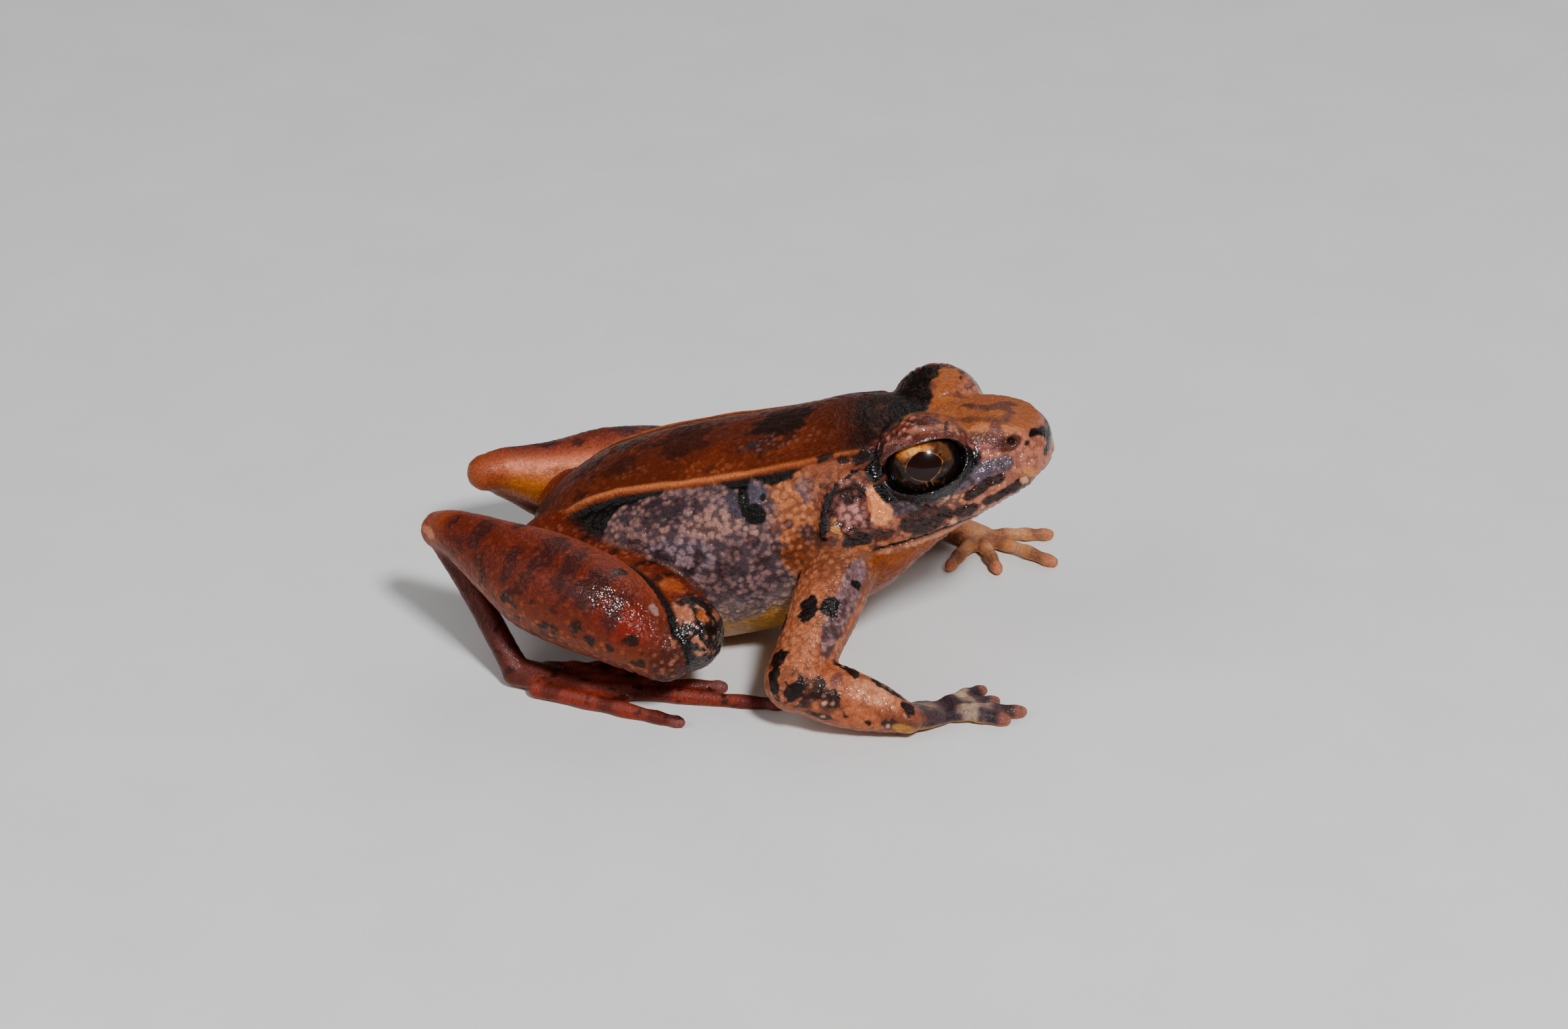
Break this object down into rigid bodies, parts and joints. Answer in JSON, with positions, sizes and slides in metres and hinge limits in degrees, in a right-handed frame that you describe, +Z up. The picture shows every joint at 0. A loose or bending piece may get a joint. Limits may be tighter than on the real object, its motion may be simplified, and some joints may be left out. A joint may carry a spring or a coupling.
{
  "type": "frog",
  "caption": "Life-size still model of a small forest frog, the smooth guardian frog, sitting up with folded hind legs and spread fingers.",
  "frame": {"origin": "middle of the footprint, on the floor", "axes": "+X toward the snout, +Y toward the frog's left side, +Z up"},
  "size_m": [0.0386, 0.0292, 0.0176],
  "materials": {
    "back_skin": "moist, finely grained skin",
    "head_skin": "moist, finely grained skin",
    "arm_skin": "moist, finely grained skin",
    "leg_skin": "moist, finely grained skin",
    "throat_skin": "smooth moist skin",
    "eardrum_skin": "thin taut skin",
    "eye": "wet and clear, like polished glass"
  },
  "bodies": {
    "root": {"torso": "back_skin", "head": "head_skin", "lower_jaw": "throat_skin", "eye_right": "eye", "eardrum_right": "eardrum_skin", "upper_arm_right": "arm_skin", "forearm_right": "arm_skin", "hand_right": "arm_skin", "finger_1_right": "arm_skin", "finger_2_right": "arm_skin", "finger_3_right": "arm_skin", "finger_4_right": "arm_skin", "thigh_right": "leg_skin", "shank_right": "leg_skin", "tarsus_right": "leg_skin", "foot_right": "leg_skin", "eye_left": "eye", "eardrum_left": "eardrum_skin", "upper_arm_left": "arm_skin", "forearm_left": "arm_skin", "hand_left": "arm_skin", "finger_1_left": "arm_skin", "finger_2_left": "arm_skin", "finger_3_left": "arm_skin", "finger_4_left": "arm_skin", "thigh_left": "leg_skin", "shank_left": "leg_skin", "tarsus_left": "leg_skin", "foot_left": "leg_skin"}
  },
  "joints": []
}
